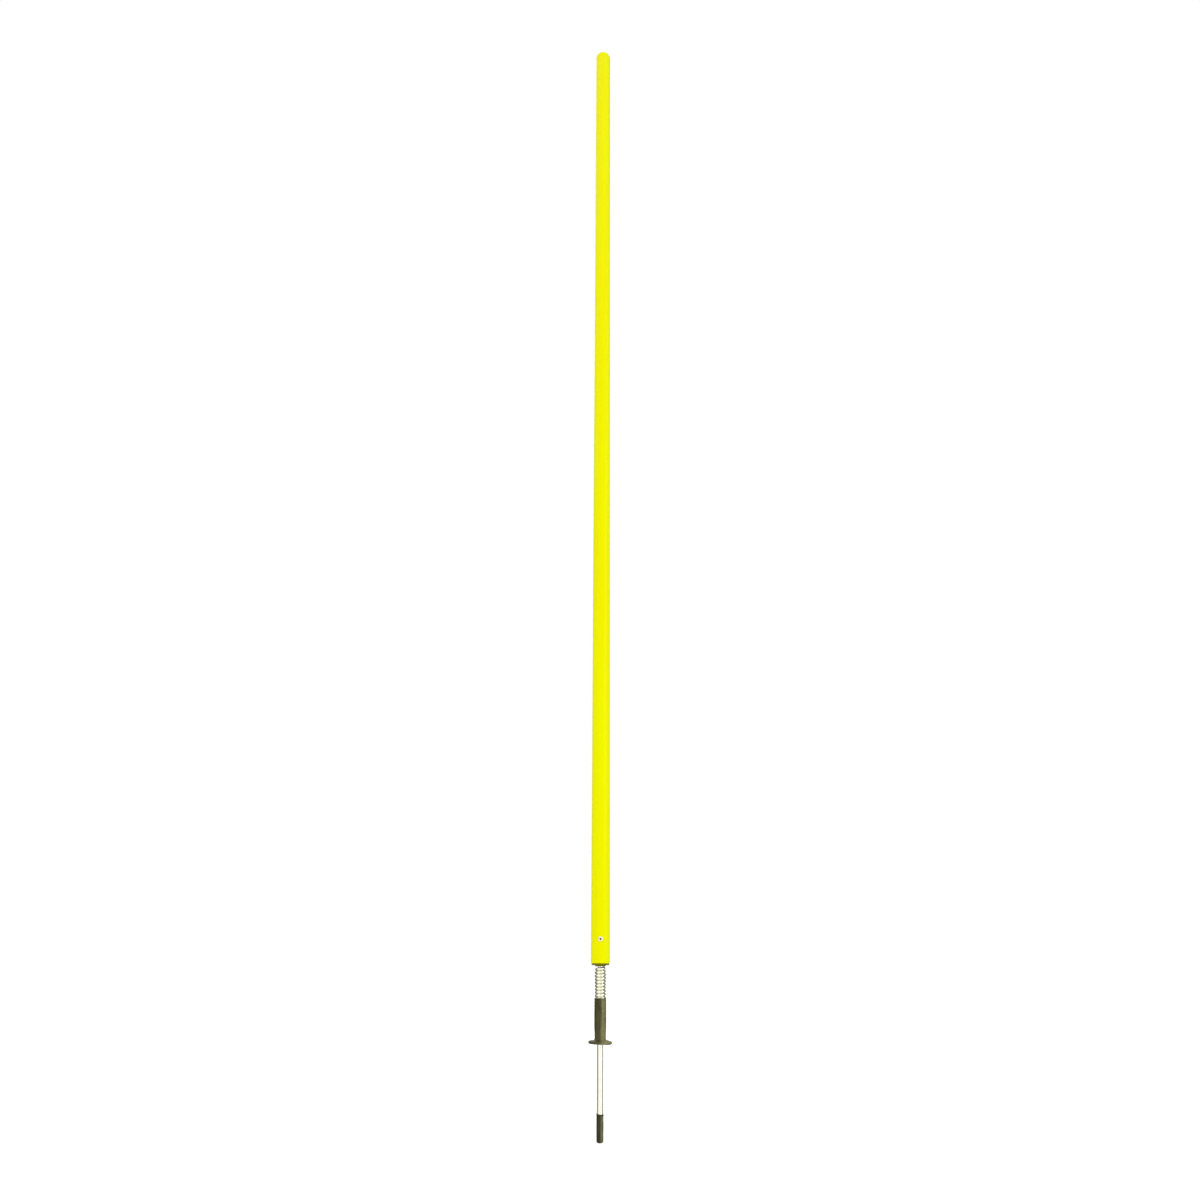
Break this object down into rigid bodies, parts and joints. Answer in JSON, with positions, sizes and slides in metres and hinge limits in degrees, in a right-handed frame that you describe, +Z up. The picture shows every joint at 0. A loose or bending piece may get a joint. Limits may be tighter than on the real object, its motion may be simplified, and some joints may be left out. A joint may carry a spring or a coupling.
{
  "type": "slalom pole",
  "caption": "Long round plastic pole with a domed cap, on a coil spring foot with a rubber ground flange and a pointed steel spike under a rubber tip cover.",
  "frame": {"origin": "on the pole's axis at ground level, the plane of the underside of the rubber sleeve's flange", "axes": "+Z up along the pole; the rivet is at the front, towards -Y"},
  "size_m": [0.031, 0.031, 1.7583],
  "materials": {
    "yellow_tube": "glossy bright yellow extruded tube",
    "yellow_cap": "glossy bright yellow moulded cap",
    "dark_plug": "dark moulded plug",
    "zinc_rod": "bright zinc-plated rod with a warm tint",
    "zinc_fastener": "zinc-plated washer and nut",
    "rivet_body": "plain aluminium",
    "rivet_stem": "dark broken steel stem",
    "spring_wire": "bright zinc-plated spring wire",
    "sleeve_rubber": "olive-black stretched rubber, half matt",
    "tip_rubber": "olive-black moulded rubber, half matt"
  },
  "bodies": {
    "spike": {"spike_rod": "zinc_rod", "ground_sleeve": "sleeve_rubber"},
    "spring": {"bend_spring": "spring_wire"},
    "pole": {"pole_tube": "yellow_tube", "top_cap": "yellow_cap", "end_plug": "dark_plug", "stub_rod": "zinc_rod", "stub_washer": "zinc_fastener", "stub_nut": "zinc_fastener", "rivet_shell": "rivet_body", "rivet_mandrel": "rivet_stem"},
    "cover": {"tip_cover": "tip_rubber"}
  },
  "joints": [
    {"name": "lean_front_back", "type": "hinge", "parent": "spike", "child": "spring", "pos_m": [0, 0, 0.045], "axis": [1, 0, 0], "range_deg": [-60, 60], "stiffness_Nm_per_rad": 9, "deforming": ["bend_spring", "ground_sleeve"]},
    {"name": "lean_side", "type": "hinge", "parent": "spring", "child": "pole", "pos_m": [0, 0, 0.071], "axis": [0, 1, 0], "range_deg": [-60, 60], "stiffness_Nm_per_rad": 9, "deforming": ["bend_spring"]},
    {"name": "cover_pull", "type": "slide", "parent": "spike", "child": "cover", "axis": [0, 0, -1], "range_m": [0, 0.04]}
  ]
}
